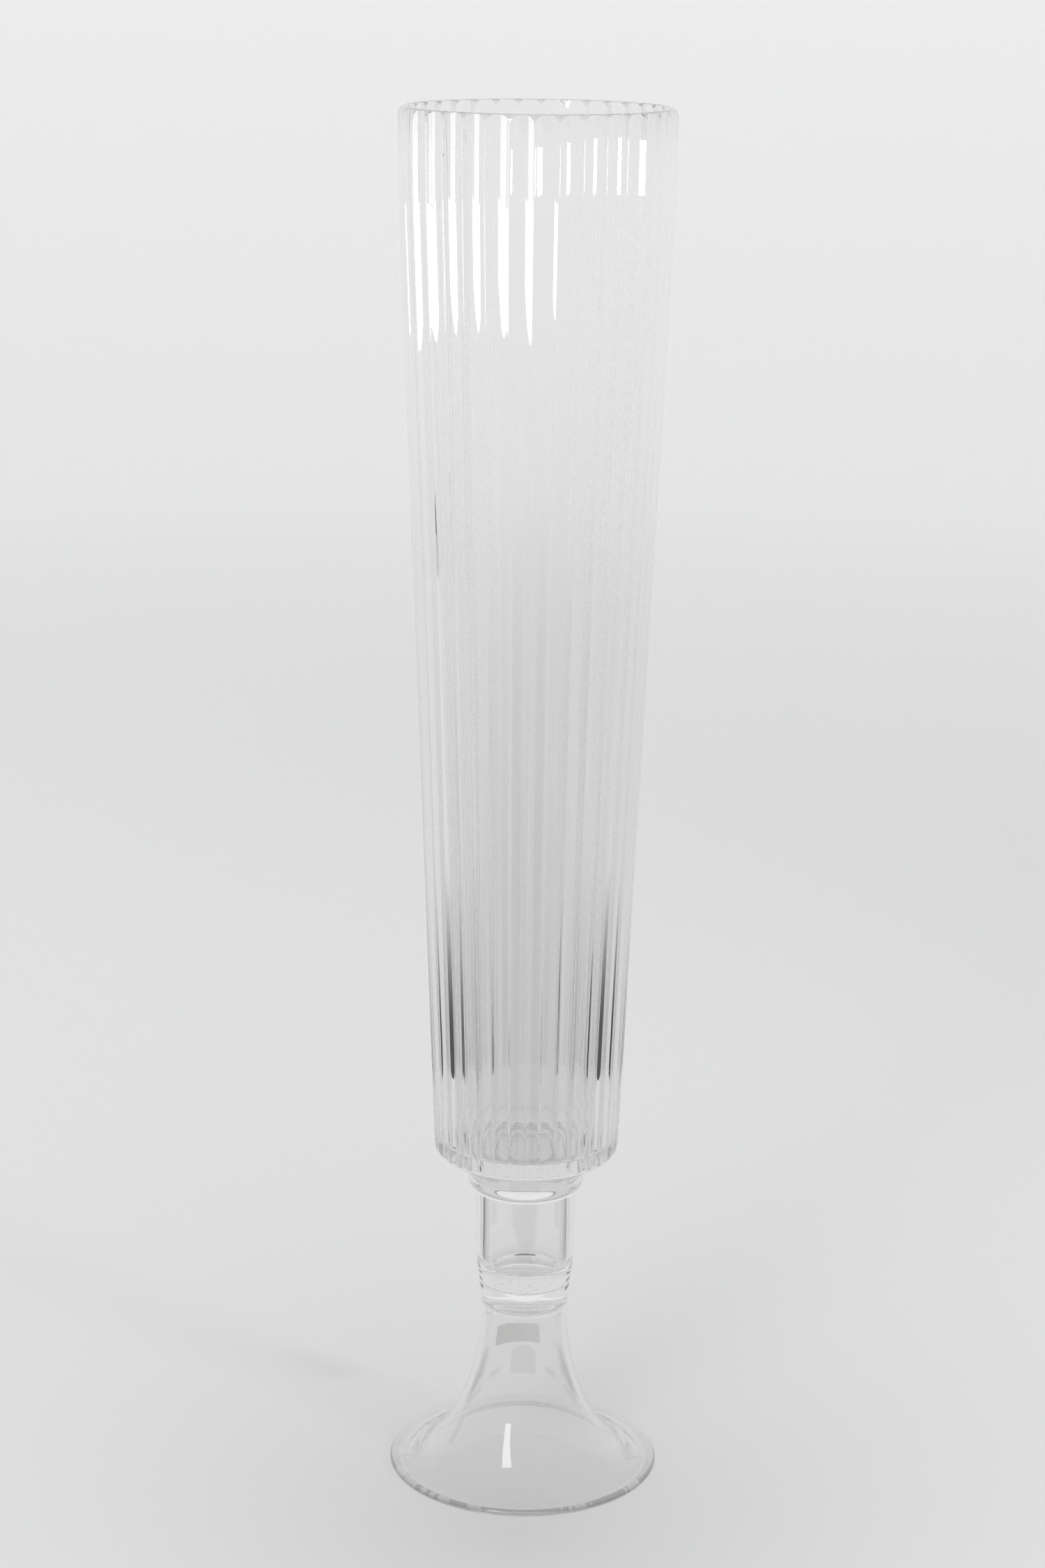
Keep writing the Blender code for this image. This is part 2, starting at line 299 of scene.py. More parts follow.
def rows_between(start, end, count):
    """Rows of heights or radii from start to end, each a row over all columns."""
    share = np.linspace(0.0, 1.0, count + 1)[1:, None]
    return start * (1 - share) + end * share


FLOOR_FADE = 0.03
RIM_FADE = 0.012
WAVE_FADE = 0.02
WAVE_SHORTEST = 0.12

inner_base = BASE_RADIUS - BOWL_WALL
inner_rim = RIM_RADIUS - BOWL_WALL
inside = joined(
    straight((0.0, BOWL_INNER_FLOOR), (inner_base - CORNER_RADIUS, BOWL_INNER_FLOOR), 5)[:-1],
    arc((inner_base - CORNER_RADIUS, BOWL_INNER_FLOOR + CORNER_RADIUS),
        CORNER_RADIUS, CORNER_RADIUS, -90, 0, 9),
)
inside_r = inside[:, :1] * level
inside_z = inside[:, 1:] * level
wall_z = rows_between(
    (BOWL_INNER_FLOOR + CORNER_RADIUS) * level, (VASE_TOP - RIM_INNER_ROUND) * level, 30)
wall_fade = np.clip((wall_z - BOWL_INNER_FLOOR - CORNER_RADIUS) / FLOOR_FADE, 0, 1)
wall_fade = wall_fade * np.clip((VASE_TOP - wall_z) / RIM_FADE, 0, 1)
wall_waves = slow_waves(bowl_angle, wall_z, BOWL_UNEVEN * 2, seed=11, shortest=WAVE_SHORTEST)
wall_r = ridge_circle(wall_z) - BOWL_WALL - INNER_IMPRINT * hollow * wall_fade
wall_r = wall_r + wall_waves * wall_fade
lip_in = arc((inner_rim + RIM_INNER_ROUND, VASE_TOP - RIM_INNER_ROUND),
             RIM_INNER_ROUND, RIM_INNER_ROUND, 180, 90, 6)[1:]
print("inner wall:", wall_r.shape[0], "rows by", wall_r.shape[1], "columns")

# %% [markdown]
# The rounding of the rim is a quarter ellipse. Where a channel starts deeper
# than the ridge, it meets that ellipse higher up, at the angle whose cosine is
# the share of the ellipse's width that is left. This is what draws the row of
# arches. The heel's quarter circle is met in the same way.

# %% The bowl's rim, outside and heel
DEPTH_CURVE = 0.7

outer_at_top = ridge_circle(VASE_TOP) - FLUTE_DEPTH * hollow
round_inner = RIM_RADIUS - RIM_ROUND_WIDTH
cut_angle = np.arccos(np.clip((outer_at_top - round_inner) / RIM_ROUND_WIDTH, -1, 1))
rim_t = rows_between(math.pi / 2 * level, cut_angle, 9)
rim_r = round_inner + RIM_ROUND_WIDTH * np.cos(rim_t)
rim_z = VASE_TOP - RIM_ROUND_HEIGHT + RIM_ROUND_HEIGHT * np.sin(rim_t)

heel_depth = FLUTE_DEPTH * BASE_DEPTH_SHARE * hollow
heel_cut = np.arccos(1.0 - heel_depth / HEEL_RADIUS)
heel_z = HEEL_TOP - HEEL_RADIUS * np.sin(heel_cut)
outer_z = np.vstack([
    rows_between(rim_z[-1:], (VASE_TOP - 2 * RIM_ROUND_HEIGHT) * level, 3),
    rows_between((VASE_TOP - 2 * RIM_ROUND_HEIGHT) * level, heel_z, 50),
])
outer_ridge = np.where(outer_z > HEEL_TOP, ridge_circle(outer_z), BASE_RADIUS)
depth_share = np.clip((outer_z - HEEL_TOP) / (LIP_BOTTOM - HEEL_TOP), 0, 1)
depth_share = BASE_DEPTH_SHARE + (1.0 - BASE_DEPTH_SHARE) * depth_share**DEPTH_CURVE
outer_hollow = FLUTE_DEPTH * depth_share * hollow
fade = np.clip((VASE_TOP - RIM_ROUND_HEIGHT - outer_z) / WAVE_FADE, 0, 1)
fade = fade * np.clip((outer_z - HEEL_TOP) / WAVE_FADE, 0, 1)
outer_r = outer_ridge - outer_hollow
outer_r = outer_r + slow_waves(bowl_angle, outer_z, BOWL_UNEVEN, seed=12, shortest=WAVE_SHORTEST) * fade
heel_t = rows_between(heel_cut, math.pi / 2 * level, 11)
heel_r = BASE_RADIUS - HEEL_RADIUS + HEEL_RADIUS * np.cos(heel_t)
base_drop = bowl_low.z - BOWL_BOTTOM
heel_rows_z = HEEL_TOP - (HEEL_RADIUS + base_drop) * np.sin(heel_t)
base_r = rows_between(heel_r[-1:], 0.0 * level, 6)[:-1]

radius = np.vstack([inside_r, wall_r, lip_in[:, :1] * level, rim_r, outer_r, heel_r, base_r])
height = np.vstack([inside_z, wall_z, lip_in[:, 1:] * level, rim_z, outer_z, heel_rows_z,
                    BOWL_BOTTOM * np.ones_like(base_r)])
print("bowl rows and columns:", radius.shape, "narrowest wall row", round(float(radius.min()), 4))

# %% [markdown]
# The table becomes one closed mesh. A closed mesh has a signed volume, and when
# that comes out negative the faces point inwards and are all turned over. Every
# piece below is then put in the scene by the same small function, which says
# what it rides on and which imported node it stands for.

# %% The bowl's mesh
bowl_mesh = turned_mesh("bowl_glass", radius, height, bowl_angle, BOWL_INNER_FLOOR, BOWL_BOTTOM)


def flip_if_inside_out(mesh):
    """Turn all faces over when the mesh's signed volume comes out negative."""
    points = np.empty(len(mesh.vertices) * 3)
    mesh.vertices.foreach_get("co", points)
    points = points.reshape(-1, 3)
    mesh.calc_loop_triangles()
    count = len(mesh.loop_triangles)
    corners = np.empty(count * 3, dtype=np.int32)
    mesh.loop_triangles.foreach_get("vertices", corners)
    a, b, c = points[corners.reshape(-1, 3)].transpose(1, 0, 2)
    volume = float(np.einsum("ij,ij->i", a, np.cross(b, c)).sum() / 6.0)
    if volume < 0:
        mesh.flip_normals()
    return abs(volume)


print("bowl glass volume", round(flip_if_inside_out(bowl_mesh) * 1e6), "cubic cm")


def add_piece(mesh, node):
    """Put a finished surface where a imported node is, and let it stand for that node."""
    piece = bpy.data.objects.new(mesh.name, mesh)
    bpy.context.scene.collection.objects.link(piece)
    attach(piece, "root")
    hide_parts(node)
    return piece


bowl = add_piece(bowl_mesh, "fluted_bowl")

# %% [markdown]
# ## The collar
#
# Between bowl and stem sits a solid bead of glass, a little wider than the
# stem and rolled under at its lower edge. It works as a lens: it gathers the
# room into one bright band above and one dark band below.

# %% The collar
TURN_COLUMNS = 384
STEM_RADIUS = 0.0293
COLLAR_RADIUS = 0.0341
COLLAR_TOP_RADIUS = 0.0324
COLLAR_UNDER = 0.0084
SOFT_EDGE = 0.0008

collar_low, collar_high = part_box("collar_bead")
collar_widest = collar_low.z + COLLAR_UNDER
collar_bottom = JOINT_STEM + FACE_OFF
collar_top = JOINT_BOWL - FACE_OFF
collar_outline = joined(
    straight((0.0, collar_top), (COLLAR_TOP_RADIUS, collar_top), 8),
    cubic((COLLAR_TOP_RADIUS, collar_top), (COLLAR_RADIUS - SOFT_EDGE, collar_top - SOFT_EDGE),
          (COLLAR_RADIUS, (collar_high.z + collar_widest) / 2), (COLLAR_RADIUS, collar_widest), 16)[1:],
    arc((STEM_RADIUS, collar_widest), COLLAR_RADIUS - STEM_RADIUS, collar_widest - collar_bottom,
        0, -90, 16)[1:],
    straight((STEM_RADIUS, collar_bottom), (0.0, collar_bottom), 10)[:-1],
)


def turned_piece(name, outline, node, first, last, uneven=0.0, seed=1):
    """A plain turned piece: one outline carried round, with slow waves on its wall."""
    angle = plain_columns(TURN_COLUMNS)
    radius = outline[:, :1] * np.ones_like(angle)
    height = outline[:, 1:] * np.ones_like(angle)
    swell = slow_waves(angle, height, uneven, seed, shortest=0.03, longest=0.15)
    radius = radius + swell * np.clip(radius / STEM_RADIUS, 0, 1)
    mesh = turned_mesh(name, radius, height, angle, first, last)
    volume = flip_if_inside_out(mesh)
    print(name, radius.shape, "volume", round(volume * 1e6, 1), "cubic cm")
    return add_piece(mesh, node)


collar = turned_piece("collar_glass", collar_outline, "collar_bead",
                      collar_top, collar_bottom, 0.00005, seed=21)

# %% [markdown]
# ## The stem cup
#
# The stem is a small thick-walled cup. Its floor is cemented to the foot and
# the collar closes its open top, so it holds only air. Inside, floor and wall
# meet in a generous round corner, which shows as a dark curve.

# %% The stem cup
STEM_BASE_RADIUS = 0.0270
STEM_TAPER_HEIGHT = 0.0300
STEM_WALL = 0.0050
STEM_FLOOR = 0.0085
STEM_CORNER = 0.0070

stem_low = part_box("stem_cup")[0]
stem_top = JOINT_STEM - FACE_OFF
stem_bottom = JOINT_FOOT + FACE_OFF
stem_inner = STEM_RADIUS - STEM_WALL
stem_floor = stem_low.z + STEM_FLOOR
taper_top = stem_low.z + STEM_TAPER_HEIGHT
stem_outline = joined(
    straight((0.0, stem_floor), (stem_inner - STEM_CORNER, stem_floor), 5)[:-1],
    arc((stem_inner - STEM_CORNER, stem_floor + STEM_CORNER), STEM_CORNER, STEM_CORNER, -90, 0, 14),
    straight((stem_inner, stem_floor + STEM_CORNER), (stem_inner, stem_top), 12),
    straight((stem_inner, stem_top), (STEM_RADIUS, stem_top), 5),
    straight((STEM_RADIUS, stem_top), (STEM_RADIUS, taper_top), 12),
    cubic((STEM_RADIUS, taper_top), (STEM_RADIUS, taper_top - STEM_TAPER_HEIGHT / 2),
          (STEM_BASE_RADIUS + SOFT_EDGE, stem_low.z + STEM_TAPER_HEIGHT / 5),
          (STEM_BASE_RADIUS, stem_bottom + SOFT_EDGE), 18)[1:],
    arc((STEM_BASE_RADIUS - SOFT_EDGE, stem_bottom + SOFT_EDGE), SOFT_EDGE, SOFT_EDGE, 0, -90, 5)[1:],
    straight((STEM_BASE_RADIUS - SOFT_EDGE, stem_bottom), (0.0, stem_bottom), 8)[:-1],
)
stem = turned_piece("stem_glass", stem_outline, "stem_cup",
                    stem_floor, stem_bottom, 0.00010, seed=31)

# %% [markdown]
# ## The trumpet foot
#
# The foot is blown thin and flared into a trumpet, with a solid crown left on
# top. Outer and inner skins are one curve and the same curve moved inwards
# along its normals, so that the wall keeps its thickness down the bell. Towards
# the brim the inner skin eases down to the narrow flat ring that the vase
# stands on, which makes the brim a little thicker, as on a blown foot.

# %% The trumpet foot
FOOT_WALL = 0.0031
CROWN_THICKNESS = 0.0095
NECK_RADIUS = 0.02535
NECK_BELOW_CROWN = 0.0175
BRIM_WIDTH = 0.0073
BRIM_TOP = 0.0055
BRIM_EDGE = 0.0020
REST_RING = 0.0038
FLARE_DROP = 0.48
FLARE_REACH = 0.56
UNDER_BLEND = 12
UNDER_LEAD = 0.4

foot_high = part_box("trumpet_foot")[1]
FOOT_RADIUS = foot_high.x
neck_z = foot_high.z - NECK_BELOW_CROWN
brim_r = FOOT_RADIUS - BRIM_WIDTH
flare = cubic((NECK_RADIUS, neck_z), (NECK_RADIUS, neck_z - FLARE_DROP * (neck_z - BRIM_TOP)),
              (brim_r - FLARE_REACH * (brim_r - NECK_RADIUS), BRIM_TOP), (brim_r, BRIM_TOP), 48)


def moved_inward(points, distance):
    """The curve shifted by distance along its normal, towards the axis side."""
    run = np.gradient(points, axis=0)
    length = np.linalg.norm(run, axis=1)
    shift = np.stack([run[:, 1] / length, -run[:, 0] / length], axis=-1)
    return points + distance * shift


flare_inner = moved_inward(flare, FOOT_WALL)
crown_top = JOINT_FOOT - FACE_OFF
ceiling = foot_high.z - CROWN_THICKNESS
edge_centre = (FOOT_RADIUS - BRIM_EDGE, BRIM_EDGE)
rest_inner = edge_centre[0] - REST_RING
meet = flare_inner[-UNDER_BLEND]
meet_run = flare_inner[-UNDER_BLEND + 1] - meet
meet_run = meet_run / np.linalg.norm(meet_run)
lead = UNDER_LEAD * (rest_inner - meet[0])
foot_outline = joined(
    straight((0.0, crown_top), (STEM_BASE_RADIUS - SOFT_EDGE, crown_top), 8),
    arc((STEM_BASE_RADIUS - SOFT_EDGE, crown_top - SOFT_EDGE), SOFT_EDGE, SOFT_EDGE, 90, 0, 5)[1:],
    cubic((STEM_BASE_RADIUS, crown_top - SOFT_EDGE),
          (STEM_BASE_RADIUS, foot_high.z - NECK_BELOW_CROWN / 3),
          (NECK_RADIUS, neck_z + NECK_BELOW_CROWN / 2), (NECK_RADIUS, neck_z), 12)[1:],
    flare[1:],
    arc(edge_centre, BRIM_EDGE, BRIM_EDGE, 80, -90, 24),
    straight((edge_centre[0], 0.0), (rest_inner, 0.0), 3),
    cubic((rest_inner, 0.0), (rest_inner - lead, 0.0), meet + lead * meet_run, meet, 16)[1:],
    flare_inner[-UNDER_BLEND - 1::-1],
    arc((0.0, neck_z), flare_inner[0, 0], ceiling - neck_z, 0, 90, 20)[1:-1],
)
foot = turned_piece("foot_glass", foot_outline, "trumpet_foot", crown_top, ceiling)

# %% [markdown]
# ## The cement films
#
# Each joint holds a film of clear cement. Two are discs and one is a ring,
# because the stem cup is open at its top.

# %% The cement films
def film_disc(name, node, middle, film_radius):
    """A flat disc of cement with a rounded edge."""
    outline = joined(
        straight((0.0, middle + FILM_HALF), (film_radius - FILM_HALF, middle + FILM_HALF), 8),
        arc((film_radius - FILM_HALF, middle), FILM_HALF, FILM_HALF, 90, -90, 7)[1:-1],
        straight((film_radius - FILM_HALF, middle - FILM_HALF), (0.0, middle - FILM_HALF), 8)[:-1],
    )
    return turned_piece(name, outline, node, middle + FILM_HALF, middle - FILM_HALF)


def film_ring(name, node, middle, inner, outer):
    """A flat ring of cement: its section is a thin rectangle with rounded ends."""
    outline = joined(
        straight((inner, middle + FILM_HALF), (outer, middle + FILM_HALF), 4),
        arc((outer, middle), FILM_HALF, FILM_HALF, 90, -90, 7)[1:-1],
        straight((outer, middle - FILM_HALF), (inner, middle - FILM_HALF), 4),
        arc((inner, middle), FILM_HALF, FILM_HALF, 270, 90, 7)[1:],
    )
    return turned_piece(name, outline, node, None, None)


film_foot = film_disc("film_foot", "cement_foot_stem", JOINT_FOOT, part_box("cement_foot_stem")[1].x)
film_bowl = film_disc("film_bowl", "cement_collar_bowl", JOINT_BOWL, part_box("cement_collar_bowl")[1].x)
film_ring_inner = stem_inner + SOFT_EDGE
film_ring_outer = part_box("cement_stem_collar")[1].x
film_stem = film_ring("film_stem", "cement_stem_collar", JOINT_STEM, film_ring_inner, film_ring_outer)

# %% [markdown]
# ## The paper label
#
# A small blank paper label is stuck to the back of the neck and shows through
# the glass. It is a thin sheet bent round the neck, with rounded corners.

# %% The paper label
LABEL_WIDTH = 0.0310
LABEL_HEIGHT = 0.0140
LABEL_BELOW_CROWN = 0.0465
LABEL_CORNER = 0.0012
LABEL_PAPER = 0.00012
LABEL_OFF_GLASS = 0.00006
LABEL_ANGLE = math.radians(101.0)
LABEL_COLUMNS = 60
LABEL_ROWS = 28

label_middle = foot_high.z - LABEL_BELOW_CROWN


def neck_radius_at(height):
    """Outer radius of the foot at a height, read off the flare curve."""
    return np.interp(height, flare[::-1, 1], flare[::-1, 0])


def label_sheet(out):
    """Grid over the label: u and v run -1..1; near the corners v is squeezed onto the
    rounded outline, half height - r + sqrt(r^2 - d^2), d being the way into the corner."""
    u = np.linspace(-1.0, 1.0, LABEL_COLUMNS + 1)[None, :]
    v = np.linspace(-1.0, 1.0, LABEL_ROWS + 1)[:, None]
    s = u * LABEL_WIDTH / 2
    into = np.clip(np.abs(s) - (LABEL_WIDTH / 2 - LABEL_CORNER), 0.0, LABEL_CORNER)
    half = LABEL_HEIGHT / 2 - LABEL_CORNER + np.sqrt(LABEL_CORNER**2 - into**2)
    z = label_middle + v * half
    around = neck_radius_at(z) + LABEL_OFF_GLASS + out
    turn = LABEL_ANGLE + s / neck_radius_at(label_middle)
    return np.stack([around * np.cos(turn), around * np.sin(turn), z], axis=-1).reshape(-1, 3)


def closed_sheet(name, under, over, rows, columns):
    """Two grids made into one closed sheet: both faces and a rim of quads between them."""
    row = np.arange(rows)[:, None]
    column = np.arange(columns)[None, :]
    first = row * (columns + 1) + column
    face = np.stack([first, first + 1, first + columns + 2, first + columns + 1], axis=-1)
    face = face.reshape(-1, 4)
    shift = (rows + 1) * (columns + 1)
    bottom = np.arange(columns + 1)
    right = np.arange(1, rows + 1) * (columns + 1) + columns
    top = rows * (columns + 1) + np.arange(columns - 1, -1, -1)
    left = np.arange(rows - 1, 0, -1) * (columns + 1)
    loop = np.concatenate([bottom, right, top, left])
    ahead = np.roll(loop, -1)
    rim = np.stack([loop, loop + shift, ahead + shift, ahead], axis=-1)
    faces = face.tolist() + (face[:, ::-1] + shift).tolist() + rim.tolist()
    mesh = bpy.data.meshes.new(name)
    mesh.from_pydata(np.vstack([under, over]).tolist(), [], faces)
    mesh.shade_smooth()
    mesh.set_sharp_from_angle(angle=SHARP_FROM)
    return mesh


label_mesh = closed_sheet("label_paper", label_sheet(0.0), label_sheet(LABEL_PAPER),
                          LABEL_ROWS, LABEL_COLUMNS)
print("label volume", round(flip_if_inside_out(label_mesh) * 1e9, 1), "cubic mm")
label = add_piece(label_mesh, "paper_label")

# %% [markdown]
# ## Finishes
#
# One small function adds a node, sets its values and makes its links. Colours
# are written as screen hex values and turned to the linear values that a
# shader needs.

# %% Helpers for finishes
def linear(hex_colour):
    """A screen colour such as #D8DAD9 as linear red, green, blue and alpha."""
    value = int(hex_colour.lstrip("#"), 16)
    parts = [(value >> shift & 255) / 255 for shift in (16, 8, 0)]
    curve = [c / 12.92 if c <= 0.04045 else ((c + 0.055) / 1.055) ** 2.4 for c in parts]
    return (*curve, 1.0)


def add_node(tree, kind, values=None, links=None, **settings):
    """Add a node; values fills its sockets, links maps its sockets to other outputs."""
    node = tree.nodes.new(kind)
    for name, value in settings.items():
        setattr(node, name, value)
    for name, value in (values or {}).items():
        node.inputs[name].default_value = value
    for name, source in (links or {}).items():
        tree.links.new(source, node.inputs[name])
    return node


def new_material(name):
    """An empty material and its node tree."""
    material = bpy.data.materials.new(name)
    material.use_nodes = True
    material.node_tree.nodes.clear()
    return material, material.node_tree


print("white paper, linear:", [round(c, 3) for c in linear("#F0EFEC")])

# %% [markdown]
# ### Soda-lime glass
#
# Common vase glass is soda-lime glass with an index of about 1.52. Its
# surface is formed by fire, so it is smooth but not flat: very shallow ripples
# run along the piece, and they give every highlight its trembling edge. Wiping
# and washing leave a few faint dull places. The glass colour carries painted
# shade: it is painted darker towards the bottom of the bowl, and much darker
# along the brim's outer edge, where it is painted contact shade and partly the
# deeper look of the thick edge. Light that comes from a lamp has to get through
# to the table, so shadow and diffuse rays meet a clear film with a slight tint
# in place of the refracting glass.

# %% Soda-lime glass
GLASS_INDEX = 1.52
WORN_FROM = 0.60
WORN_TO = 0.85
WEAR_PER_METRE = 38.0


def soda_lime_glass(name, tint, painted_shade_tint, painted_shade_span, shade, ripple_mm, ripple_size, stretch, polish, haze):
    """Refracting glass with shallow ripples.

    tint is painted over towards painted_shade_tint, as painted shade, across
    painted_shade_span, which is ("height", from, to) or ("radius", from, to) in
    metres. ripple_mm is the ripples' height, ripple_size their width across the
    piece in metres and stretch how much longer they are up the piece. polish
    and haze are the roughness of the best and of the most worn places.
    """
    material, tree = new_material(name)
    place = add_node(tree, "ShaderNodeTexCoord")
    # Painted shade: the glass colour is mixed towards a darker tint over a span of height or of radius.
    axis = {"height": (0.0, 0.0, 1.0), "radius": (1.0, 1.0, 0.0)}[painted_shade_span[0]]
    part = add_node(tree, "ShaderNodeVectorMath", {1: axis}, {0: place.outputs["Object"]},
                    operation="MULTIPLY")
    how_far = add_node(tree, "ShaderNodeVectorMath", None, {0: part.outputs[0]}, operation="LENGTH")
    painted_shade_share = add_node(tree, "ShaderNodeMapRange", {"From Min": painted_shade_span[1], "From Max": painted_shade_span[2]},
                         {"Value": how_far.outputs["Value"]})
    tone = add_node(tree, "ShaderNodeMix", {"A": linear(tint), "B": linear(painted_shade_tint)},
                    {"Factor": painted_shade_share.outputs["Result"]}, data_type="RGBA")
    across_scale = 1.0 / ripple_size
    mapping = add_node(
        tree, "ShaderNodeMapping",
        {"Scale": (across_scale, across_scale, across_scale / stretch)},
        {"Vector": place.outputs["Object"]})
    ripples = add_node(tree, "ShaderNodeTexNoise", {"Scale": 1.0, "Detail": 2.0, "Roughness": 0.45},
                       {"Vector": mapping.outputs["Vector"]})
    bump = add_node(tree, "ShaderNodeBump", {"Strength": 1.0, "Distance": ripple_mm / 1000},
                    {"Height": ripples.outputs["Fac"]})
    wear = add_node(tree, "ShaderNodeTexNoise", {"Scale": WEAR_PER_METRE, "Detail": 4.0, "Roughness": 0.6},
                    {"Vector": place.outputs["Object"]})
    worn = add_node(tree, "ShaderNodeMapRange",
                    {"From Min": WORN_FROM, "From Max": WORN_TO, "To Min": polish, "To Max": haze},
                    {"Value": wear.outputs["Fac"]})
    glass = add_node(
        tree, "ShaderNodeBsdfPrincipled",
        {"IOR": GLASS_INDEX, "Transmission Weight": 1.0},
        {"Base Color": tone.outputs["Result"], "Roughness": worn.outputs["Result"],
         "Normal": bump.outputs["Normal"]})
    clear = add_node(tree, "ShaderNodeBsdfTransparent", {"Color": linear(shade)})
    path = add_node(tree, "ShaderNodeLightPath")
    mix = glass
    for ray in ("Is Diffuse Ray", "Is Shadow Ray"):
        mix = add_node(tree, "ShaderNodeMixShader", None,
                       {0: path.outputs[ray], 1: mix.outputs[0], 2: clear.outputs[0]})
    add_node(tree, "ShaderNodeOutputMaterial", links={"Surface": mix.outputs[0]})
    return material


# The bowl's glass colour is painted darker from 0.68 m down to 0.25 m: painted shade.
bowl_glass = soda_lime_glass(
    "mould-blown soda-lime glass", "#FDFDFD", "#F2F2F2", ("height", 0.68, 0.25), "#F9F9F9",
    ripple_mm=0.004, ripple_size=0.009, stretch=24.0, polish=0.0, haze=0.03)
# Past 78.8 mm radius the glass colour is painted much darker: painted contact shade at the brim's edge,
# partly the deeper look of the thick edge.
plain_glass = soda_lime_glass(
    "fire-polished soda-lime glass", "#FAFAFA", "#B9BBBA", ("radius", 0.0788, 0.0796), "#F9F9F9",
    ripple_mm=0.008, ripple_size=0.02, stretch=1.0, polish=0.0, haze=0.03)
print("glass finishes:", bowl_glass.name, "and", plain_glass.name)

# %% [markdown]
# ### Clear cement
#
# Cured acrylic glass cement is all but invisible, because it bends light as
# the glass does. What the eye sees is a very slight milkiness, and here and
# there a bubble that was caught when the faces were pressed together. The
# glass faces that it wets carry the same finish, so that light crosses them
# without being turned.

# %% Clear cement
BUBBLE_CELL = 0.004
BUBBLE_EDGE = 0.16
BUBBLE_CORE = 0.10


def acrylic_cement(name, film_hex, bubble_hex, haze_share):
    """A nearly open film with small round bubbles, about one in each BUBBLE_CELL cell."""
    material, tree = new_material(name)
    place = add_node(tree, "ShaderNodeTexCoord")
    cells = add_node(tree, "ShaderNodeTexVoronoi", {"Scale": 1.0 / BUBBLE_CELL, "Randomness": 1.0},
                     {"Vector": place.outputs["Object"]}, feature="F1")
    bubble = add_node(tree, "ShaderNodeMapRange",
                      {"From Min": BUBBLE_EDGE, "From Max": BUBBLE_CORE,
                       "To Min": haze_share, "To Max": 0.75},
                      {"Value": cells.outputs["Distance"]})
    tone = add_node(tree, "ShaderNodeMix", {"A": linear(film_hex), "B": linear(bubble_hex)},
                    {"Factor": bubble.outputs["Result"]}, data_type="RGBA")
    film = add_node(tree, "ShaderNodeBsdfPrincipled", {"Roughness": 0.25, "IOR": 1.49},
                    {"Alpha": bubble.outputs["Result"], "Base Color": tone.outputs["Result"]})
    add_node(tree, "ShaderNodeOutputMaterial", links={"Surface": film.outputs[0]})
    return material


cement = acrylic_cement("cured acrylic cement", "#E2E3E0", "#FFFFFF", 0.02)
print("cement finish:", cement.name)

# %% [markdown]
# ### Label paper
#
# Uncoated label paper is matt, off-white and slightly cloudy, with fibres that
# run every way.

# %% Label paper
def label_paper_finish(name, light, dark):
    """Cloudy off-white paper with a fine fibre grain, about 0.4 mm long."""
    material, tree = new_material(name)
    place = add_node(tree, "ShaderNodeTexCoord")
    cloud = add_node(tree, "ShaderNodeTexNoise", {"Scale": 160.0, "Detail": 5.0, "Roughness": 0.6},
                     {"Vector": place.outputs["Object"]})
    fibre = add_node(tree, "ShaderNodeTexNoise", {"Scale": 2500.0, "Detail": 3.0, "Distortion": 0.8},
                     {"Vector": place.outputs["Object"]})
    tone = add_node(tree, "ShaderNodeMix", {"A": linear(dark), "B": linear(light)},
                    {"Factor": cloud.outputs["Fac"]}, data_type="RGBA")
    bump = add_node(tree, "ShaderNodeBump", {"Strength": 0.4, "Distance": 0.00003},
                    {"Height": fibre.outputs["Fac"]})
    paper = add_node(tree, "ShaderNodeBsdfPrincipled", {"Roughness": 0.85, "IOR": 1.45},
                     {"Base Color": tone.outputs["Result"], "Normal": bump.outputs["Normal"]})
    add_node(tree, "ShaderNodeOutputMaterial", links={"Surface": paper.outputs[0]})
    return material


paper = label_paper_finish("uncoated label paper", "#F3F3F2", "#E4E4E3")
print("paper finish:", paper.name)

# %% [markdown]
# ### Finishes on the pieces
#
# Each glass piece has two finishes: glass all over, and cement on the faces
# that a joint wets. Those faces are found by where they lie.

# %% Give each piece its finish
NEAR = 0.0003
NEARLY_LEVEL = 0.98


def wetted_faces(mesh, low, high, inner, outer):
    """Mark the faces that lie on a joint: nearly level, between two heights and two radii."""
    count = len(mesh.polygons)
    centre = np.empty(count * 3)
    normal = np.empty(count * 3)
    mesh.polygons.foreach_get("center", centre)
    mesh.polygons.foreach_get("normal", normal)
    centre = centre.reshape(-1, 3)
    normal = normal.reshape(-1, 3)
    reach = np.hypot(centre[:, 0], centre[:, 1])
    on_joint = (centre[:, 2] > low) & (centre[:, 2] < high) & (reach > inner) & (reach < outer)
    on_joint &= np.abs(normal[:, 2]) > NEARLY_LEVEL
    index = np.zeros(count, dtype=np.int32)
    mesh.polygons.foreach_get("material_index", index)
    index[on_joint] = 1
    mesh.polygons.foreach_set("material_index", index)
    return int(on_joint.sum())


